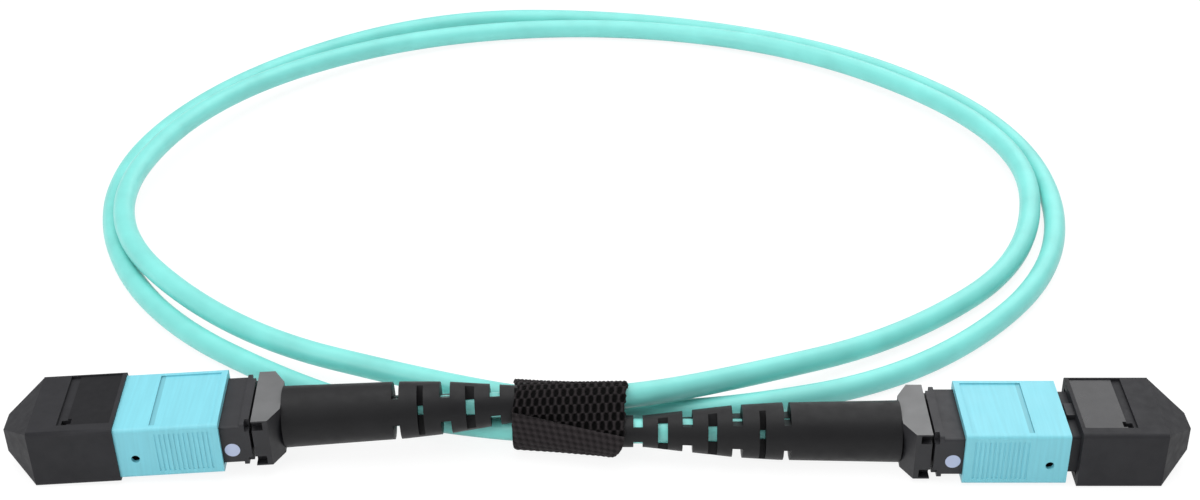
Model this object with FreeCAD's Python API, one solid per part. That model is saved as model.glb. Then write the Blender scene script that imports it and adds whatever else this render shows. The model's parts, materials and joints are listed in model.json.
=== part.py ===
import FreeCAD, Part
import math
import os

from FreeCAD import Matrix, Placement, Rotation, Vector

# Multi-fibre push-on patch cord: two plugs on one round cable, bound by a hook-and-loop strap.
# Millimetres.  +X runs from the left plug to the right plug, -Y is the side that the plugs lie
# on, Z = 0 is the surface the cord lies on.
# Each plug is built in a frame of its own: x points out of the mating face and is 0 at the front
# of the coupling sleeve, y is the width, z the height with the key on +z.

# ---- coupling sleeve
SLEEVE_LENGTH = 13.1
SLEEVE_CORNER = 0.45
SLEEVE_BAND_LENGTH = 4.5
SLEEVE_RIM = 0.8
SLEEVE_PANEL_DEPTH = 0.2
SLEEVE_SIDE_WALL = 0.55
SLEEVE_TOP_WALL = 0.85
SLEEVE_TRAVEL = 2.0
GRIP_RIB_PITCH = 0.6
GRIP_RIB_GAP = 0.24
GRIP_RIB_DEPTH = 0.08
SIDE_HOLE_RADIUS = 0.55
SIDE_HOLE_BACK = 2.3
SIDE_HOLE_DROP = 0.8

# ---- inner housing
HOUSING_WIDTH = 11.2
HOUSING_HEIGHT = 5.5
HOUSING_TAIL = 3.7
HOUSING_CORNER = 0.35
NOSE_STEP = 0.5
NOSE_LENGTH = 4.6
NOSE_ROOT_BACK = 1.5
FLANGE_LENGTH = 1.1
FLANGE_RISE = 0.4
KEY_WIDTH = 2.6
KEY_HEIGHT = 0.7
KEY_START = 0.3
KEY_LENGTH = 3.8
HOOK_RECESS_DEPTH = 0.9
HOOK_RECESS_LENGTH = 1.8
CAVITY_SIDE_GAP = 0.15
SLIDE_CLEARANCE = 0.1

# ---- ferrule and what is behind it
FERRULE_WIDTH = 6.4
FERRULE_HEIGHT = 2.5
FERRULE_LENGTH = 8.1
FERRULE_STAND_OUT = 1.3
FERRULE_FLANGE_LENGTH = 2.0
FERRULE_FLANGE_SIDE_RISE = 0.4
FERRULE_FLANGE_TOP_RISE = 0.55
FERRULE_FLOAT = 0.6
GUIDE_HOLE_RADIUS = 0.35
GUIDE_HOLE_SPACING = 4.6
WINDOW_LENGTH = 2.6
WINDOW_WIDTH = 3.0
RIBBON_WIDTH = 3.0
RIBBON_THICKNESS = 0.3
RIBBON_CLEARANCE = 0.06
FERRULE_BOOT_WALL = 0.28
FERRULE_BOOT_HEIGHT = 1.5
FERRULE_BOOT_LENGTH = 4.1
FERRULE_BOOT_INSIDE = 2.9
SPRING_SEAT_LENGTH = 1.2
SEAT_CLEARANCE = 0.1
MAIN_SPRING_GAP = 0.19
MAIN_SPRING_WIRE = 0.36
MAIN_SPRING_LENGTH = 9.0
MAIN_SPRING_TURNS = 5
COIL_STEPS = 8

# ---- sleeve springs, one in a groove on each side of the housing
SIDE_SPRING_RADIUS = 0.52
SIDE_SPRING_WIRE = 0.2
SIDE_SPRING_TURNS = 5
SPRING_GROOVE_START = 3.9
SPRING_GROOVE_END = 12.0
SPRING_GROOVE_DEPTH = 1.25
SPRING_GROOVE_HEIGHT = 1.5
LUG_LENGTH = 0.9
LUG_HEIGHT = 1.1

# ---- rear body, crimp ring and strain-relief boot
REAR_GAP = 0.35
REAR_LENGTH = 3.45
REAR_SQUARE_LENGTH = 1.6
REAR_SIDE_STEP = 0.1
REAR_TOP_RISE = 0.65
COLLAR_CUT_LENGTH = 1.4
COLLAR_CUT_WIDTH = 2.5
REAR_PLUG_LENGTH = 4.4
RIBBON_SPARE = 0.2
NOTCH_LENGTH = 1.4
NOTCH_DEPTH = 1.1
NOTCH_HEIGHT = 1.2
NOTCH_SKIN = 0.2
SNAP_RIDGE = 0.18
SNAP_LENGTH = 0.6
BARREL_WALL = 0.6
BARREL_LENGTH = 6.4
BARREL_GROOVES = 2
BARREL_GROOVE_LENGTH = 1.0
BARREL_GROOVE_DEPTH = 0.2
BARREL_END = 1.0
CRIMP_WALL = 0.45
CRIMP_CLEARANCE = 0.05
CRIMP_LENGTH = 6.8
CRIMP_NECK_LENGTH = 4.0
BOOT_WALL = 1.05
BOOT_TIP_WALL = 0.35
BOOT_CLEARANCE = 0.1
BOOT_TAPER = ((0.0, 1.0), (15.4, 0.85), (20.9, 0.68), (32.4, 0.0), (37.2, 0.0))
SLOT_FIRST = 14.4
SLOT_PITCH = 3.15
SLOT_WIDTHS = (0.9, 0.8, 1.3, 1.15, 1.3, 1.25, 1.2)
SLOT_WEB = 0.45
SLOT_TURN_LEFT = 30.0
SLOT_TURN_RIGHT = -20.0

# ---- dust cap
CAP_BOX_LENGTH = 10.7
CAP_TAPER_LENGTH = 4.1
CAP_NOSE_WIDTH = 3.4
CAP_NOSE_HEIGHT = 3.3
CAP_WALL = 1.1
CAP_SIDE_SPARE = 0.3
CAP_TOP_SPARE = 0.2
CAP_HOLLOW_DEPTH = 11.2
CAP_CORNER = 0.5
CAP_KEYWAY_SPARE = 0.15
CAP_GRIP_CLEARANCE = 0.05
CAP_GRIP_LENGTH = 3.4
CAP_PANEL_LENGTH = 5.4
CAP_PANEL_DEPTH = 0.15
CAP_PANEL_EDGE = 1.1
CAP_GROOVE_WIDTH = 1.2
CAP_GROOVE_DEPTH = 0.4
CAP_SLOT_LENGTH = 1.3
CAP_SLOT_WIDTH = 1.1
CAP_SLOT_BACK = 0.5
CAP_SLOT_INSET = 0.4

# ---- cable and strap
CABLE_RADIUS = 1.6
CABLE_SIDES = 10
CABLE_BORE_CLEARANCE = 0.1
STRAP_THICKNESS = 0.8
STRAP_CLEARANCE = 0.15
STRAP_LEFT_X = -10.8
STRAP_RIGHT_X = 3.5
STRAP_CORNERS = ((0.0, 3.0), (5.8, 3.0), (5.8, 4.3), (2.0, 6.95), (1.1, 6.95))
FLAP_THICKNESS = 0.7
FLAP_TOP = 4.9
FLAP_BACK = 2.0

# ---- where the plugs lie
RIGHT_ORIGIN_X = 59.15
RIGHT_ORIGIN_Y = -1.4
RIGHT_CAP_GAP = 1.38
LEFT_ORIGIN_X = -60.5
LEFT_ORIGIN_Y = -0.85
LEFT_CAP_GAP = 0.0
LEFT_YAW = 2.2
LEFT_PITCH = 2.4

# The cable's route between the two boots, chosen by hand: corner points of its straight runs.
# The first point is inside the left boot and the last inside the right one, each on its boot's
# axis; inner turn, strap, outer turn, strap.
ROUTE = (
    (-10.8, 1.06, 6.59),
    (3.9, 1.62, 7.2),
    (17.0, 9.8, 3.8),
    (39.0, 23.6, 1.6),
    (67.0, 45.0, 1.6),
    (67.5, 86.0, 1.6),
    (39.0, 116.0, 1.6),
    (1.5, 129.0, 1.6),
    (-39.0, 121.5, 1.6),
    (-68.0, 93.5, 1.6),
    (-75.5, 52.0, 1.6),
    (-46.0, 22.5, 1.6),
    (-21.0, 9.2, 2.9),
    (-4.0, 4.4, 3.6),
    (12.0, 4.4, 1.6),
    (41.5, 13.2, 1.6),
    (71.0, 43.0, 1.6),
    (72.0, 84.5, 1.6),
    (46.0, 116.0, 1.6),
    (9.0, 131.5, 1.6),
    (-31.0, 130.0, 1.6),
    (-65.0, 107.0, 1.6),
    (-80.0, 69.0, 1.6),
    (-66.5, 30.5, 1.6),
    (-36.0, 9.6, 1.6),
    (-15.0, 3.8, 1.6),
    (-3.4, -1.4, 4.05),
    (9.4, -1.4, 4.05),
)
ARC_SHARE = 0.45

# ---- sizes that follow from those above
SLEEVE_WIDTH = HOUSING_WIDTH + 2 * (SLIDE_CLEARANCE + SLEEVE_SIDE_WALL)
SLEEVE_HEIGHT = HOUSING_HEIGHT + 2 * (SLIDE_CLEARANCE + SLEEVE_TOP_WALL)
NOSE_WIDTH = HOUSING_WIDTH - 2 * NOSE_STEP
CAP_WIDTH = NOSE_WIDTH + 2 * (CAP_SIDE_SPARE + CAP_WALL)
CAP_HEIGHT = HOUSING_HEIGHT + 2 * (CAP_TOP_SPARE + CAP_WALL)
REAR_WIDTH = HOUSING_WIDTH - 2 * REAR_SIDE_STEP
REAR_HEIGHT = HOUSING_HEIGHT + 2 * REAR_TOP_RISE
MAIN_SPRING_RADIUS = RIBBON_WIDTH / 2 + MAIN_SPRING_GAP + MAIN_SPRING_WIRE
FERRULE_FLANGE_WIDTH = FERRULE_WIDTH + 2 * FERRULE_FLANGE_SIDE_RISE
FERRULE_FLANGE_HEIGHT = FERRULE_HEIGHT + 2 * FERRULE_FLANGE_TOP_RISE
CAVITY_WIDTH = FERRULE_FLANGE_WIDTH + 2 * CAVITY_SIDE_GAP
CAVITY_HEIGHT = 2 * (MAIN_SPRING_RADIUS + 2 * SLIDE_CLEARANCE)
FERRULE_BOOT_WIDTH = RIBBON_WIDTH + 2 * FERRULE_BOOT_WALL
REAR_BORE_RADIUS = RIBBON_WIDTH / 2 + RIBBON_SPARE
BARREL_RADIUS = REAR_BORE_RADIUS + BARREL_WALL
HOUSING_REAR = -(SLEEVE_LENGTH + HOUSING_TAIL)
REAR_FRONT = HOUSING_REAR - REAR_GAP
BOOT_FRONT = REAR_FRONT - REAR_LENGTH
BOOT_TIP = BOOT_FRONT - BOOT_TAPER[-1][0]
FERRULE_TIP = NOSE_LENGTH + FERRULE_STAND_OUT
FERRULE_REAR = FERRULE_TIP - FERRULE_LENGTH
SEAT_REAR = FERRULE_REAR - SPRING_SEAT_LENGTH
MAIN_SPRING_REAR = SEAT_REAR - MAIN_SPRING_LENGTH
CRIMP_BORE = CABLE_RADIUS + CRIMP_CLEARANCE
CRIMP_RADIUS = BARREL_RADIUS + CRIMP_CLEARANCE + CRIMP_WALL
CRIMP_NECK_RADIUS = CRIMP_BORE + CRIMP_WALL
BOOT_RADIUS = CRIMP_RADIUS + BOOT_CLEARANCE + BOOT_WALL
BOOT_TIP_RADIUS = CABLE_RADIUS + CABLE_BORE_CLEARANCE + BOOT_TIP_WALL
STRAP_INNER_RADIUS = BOOT_TIP_RADIUS + STRAP_CLEARANCE
STRAP_OUTLINE = ((RIGHT_ORIGIN_Y, CAP_HEIGHT / 2), *STRAP_CORNERS)
CRIMP_FRONT = BOOT_FRONT - 0.3
CRIMP_REAR = CRIMP_FRONT - CRIMP_LENGTH - CRIMP_NECK_LENGTH
CABLE_END = CRIMP_FRONT - CRIMP_LENGTH + CRIMP_WALL


def block(x0, x1, width, height, y=0.0, z=0.0):
    """A box from x0 to x1, centred on y and z."""
    low = Vector(min(x0, x1), y - width / 2, z - height / 2)
    return Part.makeBox(abs(x1 - x0), width, height, low)


def rounded_block(x0, x1, width, height, radius):
    """A box whose four long edges are rounded."""
    solid = block(x0, x1, width, height)
    along = [e for e in solid.Edges if abs(e.tangentAt(e.FirstParameter).x) > 0.99]
    return solid.makeFillet(radius, along)


def rectangle(x, width, height):
    """The corners of a rectangle in the plane at x."""
    w = width / 2
    h = height / 2
    return [Vector(x, -w, -h), Vector(x, w, -h), Vector(x, w, h), Vector(x, -w, h)]


def tapered(front, rear):
    """A solid with flat faces between two rings that have as many corners as each other."""
    faces = [Part.Face(Part.makePolygon(ring + ring[:1])) for ring in (front, rear)]
    count = len(front)
    for i in range(count):
        after = (i + 1) % count
        a, b, c, d = front[i], front[after], rear[after], rear[i]
        flat = (b - a).cross(c - d).Length < 1e-9
        pieces = [[a, b, c, d]] if flat else [[a, b, c], [a, c, d]]
        faces += [Part.Face(Part.makePolygon(piece + piece[:1])) for piece in pieces]
    solid = Part.Solid(Part.Shell(faces))
    if solid.Volume < 0:
        solid.reverse()
    return solid


def turned(profile):
    """A solid turned about the x axis from (x, radius) points."""
    points = [Vector(x, 0, r) for x, r in profile]
    face = Part.Face(Part.makePolygon(points + points[:1]))
    return face.revolve(Vector(0, 0, 0), Vector(1, 0, 0), 360)


def rod(x0, x1, radius, y=0.0, z=0.0):
    """A round bar along x."""
    return Part.makeCylinder(radius, abs(x1 - x0), Vector(min(x0, x1), y, z), Vector(1, 0, 0))


def coil(x_front, x_rear, radius, wire, turns, y=0.0):
    """A compression spring along x, wound in short straight runs of square wire."""
    middle = radius - wire / 2
    length = x_front - x_rear - wire
    count = turns * COIL_STEPS
    points = []
    for i in range(count + 1):
        angle = 2 * math.pi * i / COIL_STEPS
        x = x_rear + wire / 2 + length * i / count
        points.append(Vector(x, y + middle * math.cos(angle), middle * math.sin(angle)))
    along = (points[1] - points[0]).normalize()
    across = along.cross(Vector(0, 1, 0)).normalize()
    outward = across.cross(along)
    ring = []
    for out, over in ((-1, -1), (1, -1), (1, 1), (-1, 1)):
        ring.append(points[0] + outward * (out * wire / 2) + across * (over * wire / 2))
    section = Part.makePolygon(ring + ring[:1])
    return Part.makePolygon(points).makePipeShell([section], True, False, 1)


def coupling_sleeve(hole_side):
    """The push-pull sleeve: front band, grip panel, rear rim, side holes and spring lugs."""
    body = rounded_block(-SLEEVE_LENGTH, 0, SLEEVE_WIDTH, SLEEVE_HEIGHT, SLEEVE_CORNER)
    panel_front = -SLEEVE_BAND_LENGTH
    panel_rear = -(SLEEVE_LENGTH - SLEEVE_RIM)
    panel_width = SLEEVE_WIDTH - 2 * SLEEVE_RIM
    for side in (-1, 1):
        z = side * SLEEVE_HEIGHT / 2
        panel = block(panel_rear, panel_front, panel_width, 2 * SLEEVE_PANEL_DEPTH, 0, z)
        body = body.cut(panel)
    grooves = []
    ribs = int((panel_front - panel_rear) / GRIP_RIB_PITCH)
    for i in range(ribs):
        x = panel_rear + (i + 0.6) * GRIP_RIB_PITCH
        for side in (-1, 1):
            y = side * SLEEVE_WIDTH / 2
            height = SLEEVE_HEIGHT - 4 * SLEEVE_CORNER
            grooves.append(block(x, x + GRIP_RIB_GAP, 2 * GRIP_RIB_DEPTH, height, y))
    body = body.cut(Part.makeCompound(grooves))
    hollow_width = HOUSING_WIDTH + 2 * SLIDE_CLEARANCE
    hollow_height = HOUSING_HEIGHT + 2 * SLIDE_CLEARANCE
    body = body.cut(block(-SLEEVE_LENGTH - 1, 1, hollow_width, hollow_height))
    hole_z = hole_side * SIDE_HOLE_DROP
    hole_start = Vector(-SIDE_HOLE_BACK, -SLEEVE_WIDTH, hole_z)
    hole = Part.makeCylinder(SIDE_HOLE_RADIUS, 2 * SLEEVE_WIDTH, hole_start, Vector(0, 1, 0))
    body = body.cut(hole)
    lug_front = -(SPRING_GROOVE_START + SLIDE_CLEARANCE)
    lug_depth = SPRING_GROOVE_DEPTH - 2 * SLIDE_CLEARANCE
    for side in (-1, 1):
        inner = HOUSING_WIDTH / 2 - lug_depth
        outer = hollow_width / 2 + 0.2
        y = side * (inner + outer) / 2
        body = body.fuse(block(lug_front - LUG_LENGTH, lug_front, outer - inner, LUG_HEIGHT, y))
    return body.removeSplitter()


def inner_housing():
    """The housing: nose with its key, hook recesses, spring grooves, rear flange and cavity."""
    half = HOUSING_WIDTH / 2
    shoulder = -NOSE_ROOT_BACK
    body = rounded_block(HOUSING_REAR, shoulder, HOUSING_WIDTH, HOUSING_HEIGHT, HOUSING_CORNER)
    nose = rounded_block(shoulder - 1, NOSE_LENGTH, NOSE_WIDTH, HOUSING_HEIGHT, HOUSING_CORNER)
    front = [e for e in nose.Edges if abs(e.CenterOfMass.x - NOSE_LENGTH) < 1e-6]
    body = body.fuse(nose.makeChamfer(HOUSING_CORNER / 2, front))
    flange = rounded_block(HOUSING_REAR, HOUSING_REAR + FLANGE_LENGTH,
                           HOUSING_WIDTH, HOUSING_HEIGHT + 2 * FLANGE_RISE, HOUSING_CORNER)
    body = body.fuse(flange)
    key_z = HOUSING_HEIGHT / 2 + KEY_HEIGHT / 2 - 0.2
    key = block(KEY_START, KEY_START + KEY_LENGTH, KEY_WIDTH, KEY_HEIGHT + 0.4, 0, key_z)
    body = body.fuse(key)
    for side in (-1, 1):
        recess_rear = shoulder - HOOK_RECESS_LENGTH
        y = side * half
        body = body.cut(block(recess_rear, shoulder + 0.01, 2 * HOOK_RECESS_DEPTH, 3.4, y))
        groove = block(-SPRING_GROOVE_END, -SPRING_GROOVE_START,
                       2 * SPRING_GROOVE_DEPTH, SPRING_GROOVE_HEIGHT, y)
        body = body.cut(groove)
        notch_z = REAR_HEIGHT / 2 - NOTCH_SKIN - NOTCH_HEIGHT / 2
        for up in (-1, 1):
            notch = block(HOUSING_REAR - 0.1, HOUSING_REAR + FLANGE_LENGTH / 2,
                          2 * NOTCH_DEPTH, NOTCH_HEIGHT, y, up * notch_z)
            body = body.cut(notch)
    stop = FERRULE_REAR + FERRULE_FLANGE_LENGTH
    body = body.cut(block(HOUSING_REAR - 1, stop, CAVITY_WIDTH, CAVITY_HEIGHT))
    channel_width = FERRULE_WIDTH + 2 * SLIDE_CLEARANCE
    channel_height = FERRULE_HEIGHT + 2 * SLIDE_CLEARANCE
    body = body.cut(block(stop - 0.5, NOSE_LENGTH + 1, channel_width, channel_height))
    ridge_rear = REAR_FRONT + 1.5
    ridge = block(ridge_rear - 0.05, ridge_rear + SNAP_LENGTH + 0.05,
                  CAVITY_WIDTH / 2, CAVITY_HEIGHT + 2 * SNAP_RIDGE + 0.02)
    return body.cut(ridge).removeSplitter()


def ferrule():
    """The ferrule block: flange, two guide holes, adhesive window and rear pocket."""
    body = block(FERRULE_REAR, FERRULE_TIP, FERRULE_WIDTH, FERRULE_HEIGHT)
    flange = block(FERRULE_REAR, FERRULE_REAR + FERRULE_FLANGE_LENGTH,
                   FERRULE_FLANGE_WIDTH, FERRULE_FLANGE_HEIGHT)
    body = body.fuse(flange)
    window_rear = FERRULE_REAR + FERRULE_FLANGE_LENGTH + 1.6
    window = block(window_rear, window_rear + WINDOW_LENGTH, WINDOW_WIDTH, 1.0,
                   0, FERRULE_HEIGHT / 2 - 0.3)
    body = body.cut(window)
    pocket_front = FERRULE_REAR + FERRULE_BOOT_INSIDE + 0.3
    body = body.cut(block(FERRULE_REAR - 1, pocket_front,
                          FERRULE_BOOT_WIDTH + 0.04, FERRULE_BOOT_HEIGHT + 0.04))
    for side in (-1, 1):
        y = side * GUIDE_HOLE_SPACING / 2
        body = body.cut(rod(FERRULE_REAR - 1, FERRULE_TIP + 1, GUIDE_HOLE_RADIUS, y))
    return body.removeSplitter()


def ferrule_boot():
    """The rubber boot that guides the ribbon into the ferrule."""
    front = FERRULE_REAR + FERRULE_BOOT_INSIDE
    rear = front - FERRULE_BOOT_LENGTH
    body = block(rear, front, FERRULE_BOOT_WIDTH, FERRULE_BOOT_HEIGHT)
    slot_width = RIBBON_WIDTH + 2 * RIBBON_CLEARANCE
    slot_height = RIBBON_THICKNESS + 2 * RIBBON_CLEARANCE
    return body.cut(block(rear - 1, front + 1, slot_width, slot_height))


def spring_seat():
    """The plate behind the ferrule that the main spring pushes on."""
    side = 2 * SLIDE_CLEARANCE
    body = block(SEAT_REAR, FERRULE_REAR, CAVITY_WIDTH - side, CAVITY_HEIGHT - side)
    return body.cut(block(SEAT_REAR - 1, FERRULE_REAR + 1,
                          FERRULE_BOOT_WIDTH + SEAT_CLEARANCE, FERRULE_BOOT_HEIGHT + SEAT_CLEARANCE))


def fibre_ribbon():
    """The flat ribbon of fibres from inside the ferrule to the end of the jacket."""
    front = FERRULE_REAR + FERRULE_BOOT_INSIDE - FERRULE_FLOAT
    return block(CABLE_END + 0.05, front, RIBBON_WIDTH, RIBBON_THICKNESS)


def rear_body():
    """The rear body: spring push in the cavity, chamfered collar, ribbed barrel, one bore."""
    side = 2 * SLIDE_CLEARANCE
    plug_front = HOUSING_REAR + REAR_PLUG_LENGTH
    plug_width = CAVITY_WIDTH - side
    plug_height = CAVITY_HEIGHT - side
    body = rounded_block(REAR_FRONT, plug_front, plug_width, plug_height, 0.3)
    ridge_rear = REAR_FRONT + 1.5
    ridge = block(ridge_rear, ridge_rear + SNAP_LENGTH,
                  CAVITY_WIDTH / 2 - 0.2, plug_height + 2 * SNAP_RIDGE)
    body = body.fuse(ridge)
    w = REAR_WIDTH / 2
    h = REAR_HEIGHT / 2
    cut_start = BOOT_FRONT + COLLAR_CUT_LENGTH
    cut_end = w - COLLAR_CUT_WIDTH
    outline = [(REAR_FRONT, -w), (cut_start, -w), (BOOT_FRONT, -cut_end)]
    outline += [(BOOT_FRONT, cut_end), (cut_start, w), (REAR_FRONT, w)]
    corners = [Vector(x, y, -h) for x, y in outline]
    plan = Part.Face(Part.makePolygon(corners + corners[:1]))
    collar = plan.extrude(Vector(0, 0, REAR_HEIGHT))
    for across in (-1, 1):
        for up in (-1, 1):
            notch = block(REAR_FRONT - NOTCH_LENGTH, REAR_FRONT + 0.1, 2 * NOTCH_DEPTH,
                          NOTCH_HEIGHT, across * w,
                          up * (h - NOTCH_SKIN - NOTCH_HEIGHT / 2))
            collar = collar.cut(notch)
    body = body.fuse(collar)
    barrel_rear = BOOT_FRONT - BARREL_LENGTH
    profile = [(BOOT_FRONT + 0.5, 0), (BOOT_FRONT + 0.5, BARREL_RADIUS)]
    pitch = (BARREL_LENGTH - BARREL_END) / BARREL_GROOVES
    for i in range(BARREL_GROOVES):
        front = BOOT_FRONT - BARREL_END - i * pitch
        rear = front - BARREL_GROOVE_LENGTH
        bottom = BARREL_RADIUS - BARREL_GROOVE_DEPTH
        profile += [(front, BARREL_RADIUS), (front, bottom), (rear, bottom), (rear, BARREL_RADIUS)]
    profile += [(barrel_rear, BARREL_RADIUS), (barrel_rear, 0)]
    body = body.fuse(turned(profile))
    return body.cut(rod(barrel_rear - 1, plug_front + 1, REAR_BORE_RADIUS)).removeSplitter()


def crimp_ring():
    """The metal ring crimped over the barrel, with a neck that grips the jacket."""
    ring = rod(CRIMP_FRONT, CRIMP_FRONT - CRIMP_LENGTH, CRIMP_RADIUS)
    ring = ring.fuse(rod(CRIMP_FRONT, CRIMP_REAR, CRIMP_NECK_RADIUS))
    ring = ring.cut(rod(CRIMP_FRONT + 1, CABLE_END, BARREL_RADIUS + CRIMP_CLEARANCE))
    return ring.cut(rod(CRIMP_FRONT, CRIMP_REAR - 1, CRIMP_BORE))


def boot_radius(distance):
    """The boot's outer radius at a distance from its front."""
    for (start, before), (end, after) in zip(BOOT_TAPER, BOOT_TAPER[1:]):
        if distance <= end:
            share = before + (after - before) * (distance - start) / (end - start)
            break
    return BOOT_TIP_RADIUS + share * (BOOT_RADIUS - BOOT_TIP_RADIUS)


def strain_relief_boot(turn):
    """The flexible boot: long taper, and slots cut crosswise turn about, turned by an angle."""
    outline = [(BOOT_FRONT, 0)]
    for distance, share in BOOT_TAPER:
        outline.append((BOOT_FRONT - distance, boot_radius(distance)))
    body = turned(outline + [(BOOT_TIP, 0)])
    wide_rear = CRIMP_FRONT - CRIMP_LENGTH - BOOT_CLEARANCE
    body = body.cut(rod(wide_rear, BOOT_FRONT + 1, CRIMP_RADIUS + BOOT_CLEARANCE))
    neck_rear = CRIMP_REAR - BOOT_CLEARANCE
    body = body.cut(rod(neck_rear, BOOT_FRONT, CRIMP_NECK_RADIUS + BOOT_CLEARANCE))
    body = body.cut(rod(BOOT_TIP - 1, BOOT_FRONT, CABLE_RADIUS + CABLE_BORE_CLEARANCE))
    slots = []
    for i, width in enumerate(SLOT_WIDTHS):
        distance = SLOT_FIRST + i * SLOT_PITCH
        x = BOOT_FRONT - distance
        web = SLOT_WEB * boot_radius(distance)
        for side in (-1, 1):
            depth = BOOT_RADIUS + 1 - web
            middle = side * (web + depth / 2)
            slot = block(x - width / 2, x + width / 2, 2 * BOOT_RADIUS + 1, depth, 0, middle)
            slot.rotate(Vector(0, 0, 0), Vector(1, 0, 0), turn + 90 * (i % 2))
            slots.append(slot)
    return body.cut(Part.makeCompound(slots))


def dust_cap(gap):
    """The dust cap: boxed shell, hipped nose, keyways, grip ribs, panels and small slots."""
    rim = gap
    box_end = rim + CAP_BOX_LENGTH
    body = rounded_block(rim, box_end, CAP_WIDTH, CAP_HEIGHT, CAP_CORNER)
    wide = rectangle(box_end, CAP_WIDTH - 0.3, CAP_HEIGHT - 0.3)
    nose = rectangle(box_end + CAP_TAPER_LENGTH, CAP_NOSE_WIDTH, CAP_NOSE_HEIGHT)
    body = body.fuse(tapered(wide, nose))
    hollow_width = CAP_WIDTH - 2 * CAP_WALL
    hollow_height = CAP_HEIGHT - 2 * CAP_WALL
    body = body.cut(block(rim - 1, box_end - 1, hollow_width, hollow_height))
    body = body.cut(block(rim, rim + CAP_HOLLOW_DEPTH, hollow_width - 2, hollow_height - 1))
    keyway_width = KEY_WIDTH + 2 * CAP_KEYWAY_SPARE
    keyway_height = HOUSING_HEIGHT + 2 * (KEY_HEIGHT + CAP_KEYWAY_SPARE)
    keyway_end = NOSE_LENGTH + 0.5 + gap
    body = body.cut(block(rim - 1, keyway_end, keyway_width, keyway_height))
    grip = NOSE_WIDTH / 2 + CAP_GRIP_CLEARANCE
    for side in (-1, 1):
        depth = hollow_width / 2 + 0.3 - grip
        y = side * (grip + depth / 2)
        for z in (-1.3, 1.3):
            rib = block(rim + 0.5, rim + 0.5 + CAP_GRIP_LENGTH, depth, 0.5, y, z)
            body = body.fuse(rib)
        z = side * CAP_HEIGHT / 2
        panel = block(rim + 0.5, rim + 0.5 + CAP_PANEL_LENGTH, CAP_WIDTH - 2 * CAP_PANEL_EDGE,
                      2 * CAP_PANEL_DEPTH, CAP_PANEL_EDGE / 2, z)
        body = body.cut(panel)
        groove_x = rim + 0.5 + CAP_PANEL_LENGTH
        groove = block(groove_x, groove_x + CAP_GROOVE_WIDTH, CAP_WIDTH - 2 * CAP_PANEL_EDGE,
                       2 * CAP_GROOVE_DEPTH, CAP_PANEL_EDGE / 2, z)
        body = body.cut(groove)
        slot_y = -(CAP_WIDTH / 2 - CAP_PANEL_EDGE - CAP_SLOT_WIDTH - CAP_SLOT_INSET)
        slot_x = groove_x - CAP_SLOT_BACK
        slot = block(slot_x, slot_x + CAP_SLOT_LENGTH, CAP_SLOT_WIDTH,
                     2 * CAP_WALL + 0.2, slot_y, z)
        body = body.cut(slot)
    return body.removeSplitter()


def sleeve_springs():
    """The two springs that push the sleeve forward, one each side."""
    front = -(SPRING_GROOVE_START + SLIDE_CLEARANCE + LUG_LENGTH) - 0.02
    rear = -SPRING_GROOVE_END + 0.02
    y = HOUSING_WIDTH / 2 - SPRING_GROOVE_DEPTH + SIDE_SPRING_RADIUS + 0.06
    springs = [
        coil(front, rear, SIDE_SPRING_RADIUS, SIDE_SPRING_WIRE, SIDE_SPRING_TURNS, side * y)
        for side in (-1, 1)
    ]
    return Part.makeCompound(springs)


def main_spring():
    """The spring that pushes the ferrule forward."""
    rear = HOUSING_REAR + REAR_PLUG_LENGTH + 0.02
    return coil(SEAT_REAR - 0.02, rear, MAIN_SPRING_RADIUS, MAIN_SPRING_WIRE, MAIN_SPRING_TURNS)


def plug_pieces(cap_gap, hole_side, slot_turn):
    """Every piece of one plug, in the plug's own frame, by name."""
    return {
        "dust_cap": dust_cap(cap_gap),
        "coupling_sleeve": coupling_sleeve(hole_side),
        "sleeve_springs": sleeve_springs(),
        "inner_housing": inner_housing(),
        "ferrule": ferrule(),
        "ferrule_boot": ferrule_boot(),
        "spring_seat": spring_seat(),
        "main_spring": main_spring(),
        "fibre_ribbon": fibre_ribbon(),
        "rear_body": rear_body(),
        "crimp_ring": crimp_ring(),
        "strain_relief_boot": strain_relief_boot(slot_turn),
    }


def right_placement():
    """The right plug lies level on its cap, key up."""
    return Placement(Vector(RIGHT_ORIGIN_X, RIGHT_ORIGIN_Y, CAP_HEIGHT / 2), Rotation())


def left_placement():
    """The left plug lies key down, turned a little and lifted at its boot by the cable."""
    pitch = math.radians(LEFT_PITCH)
    cap_reach = LEFT_CAP_GAP + CAP_BOX_LENGTH
    z = cap_reach * math.sin(pitch) + CAP_HEIGHT / 2 * math.cos(pitch)
    turn = Rotation(Vector(0, 0, 1), LEFT_YAW)
    lift = Rotation(Vector(0, 1, 0), 180 - LEFT_PITCH)
    return Placement(Vector(LEFT_ORIGIN_X, LEFT_ORIGIN_Y, z), turn.multiply(lift))


def arc_path(points, lead_in, lead_out):
    """Straight runs joined by tangent arcs, with a straight stretch added at each end."""
    edges = []
    radii = []
    start = lead_in
    for before, corner, after in zip(points, points[1:], points[2:]):
        back = (before - corner)
        ahead = (after - corner)
        reach = ARC_SHARE * min(back.Length, ahead.Length)
        back.normalize()
        ahead.normalize()
        half = (math.pi - back.getAngle(ahead)) / 2
        radius = reach / math.tan(half)
        arc_start = corner + back * reach
        arc_end = corner + ahead * reach
        bisector = (back + ahead).normalize()
        middle = corner + bisector * (radius / math.cos(half) - radius)
        edges.append(Part.LineSegment(start, arc_start).toShape())
        edges.append(Part.Arc(arc_start, middle, arc_end).toShape())
        radii.append(radius)
        start = arc_end
    edges.append(Part.LineSegment(start, lead_out).toShape())
    return Part.Wire(edges), radii


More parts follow.
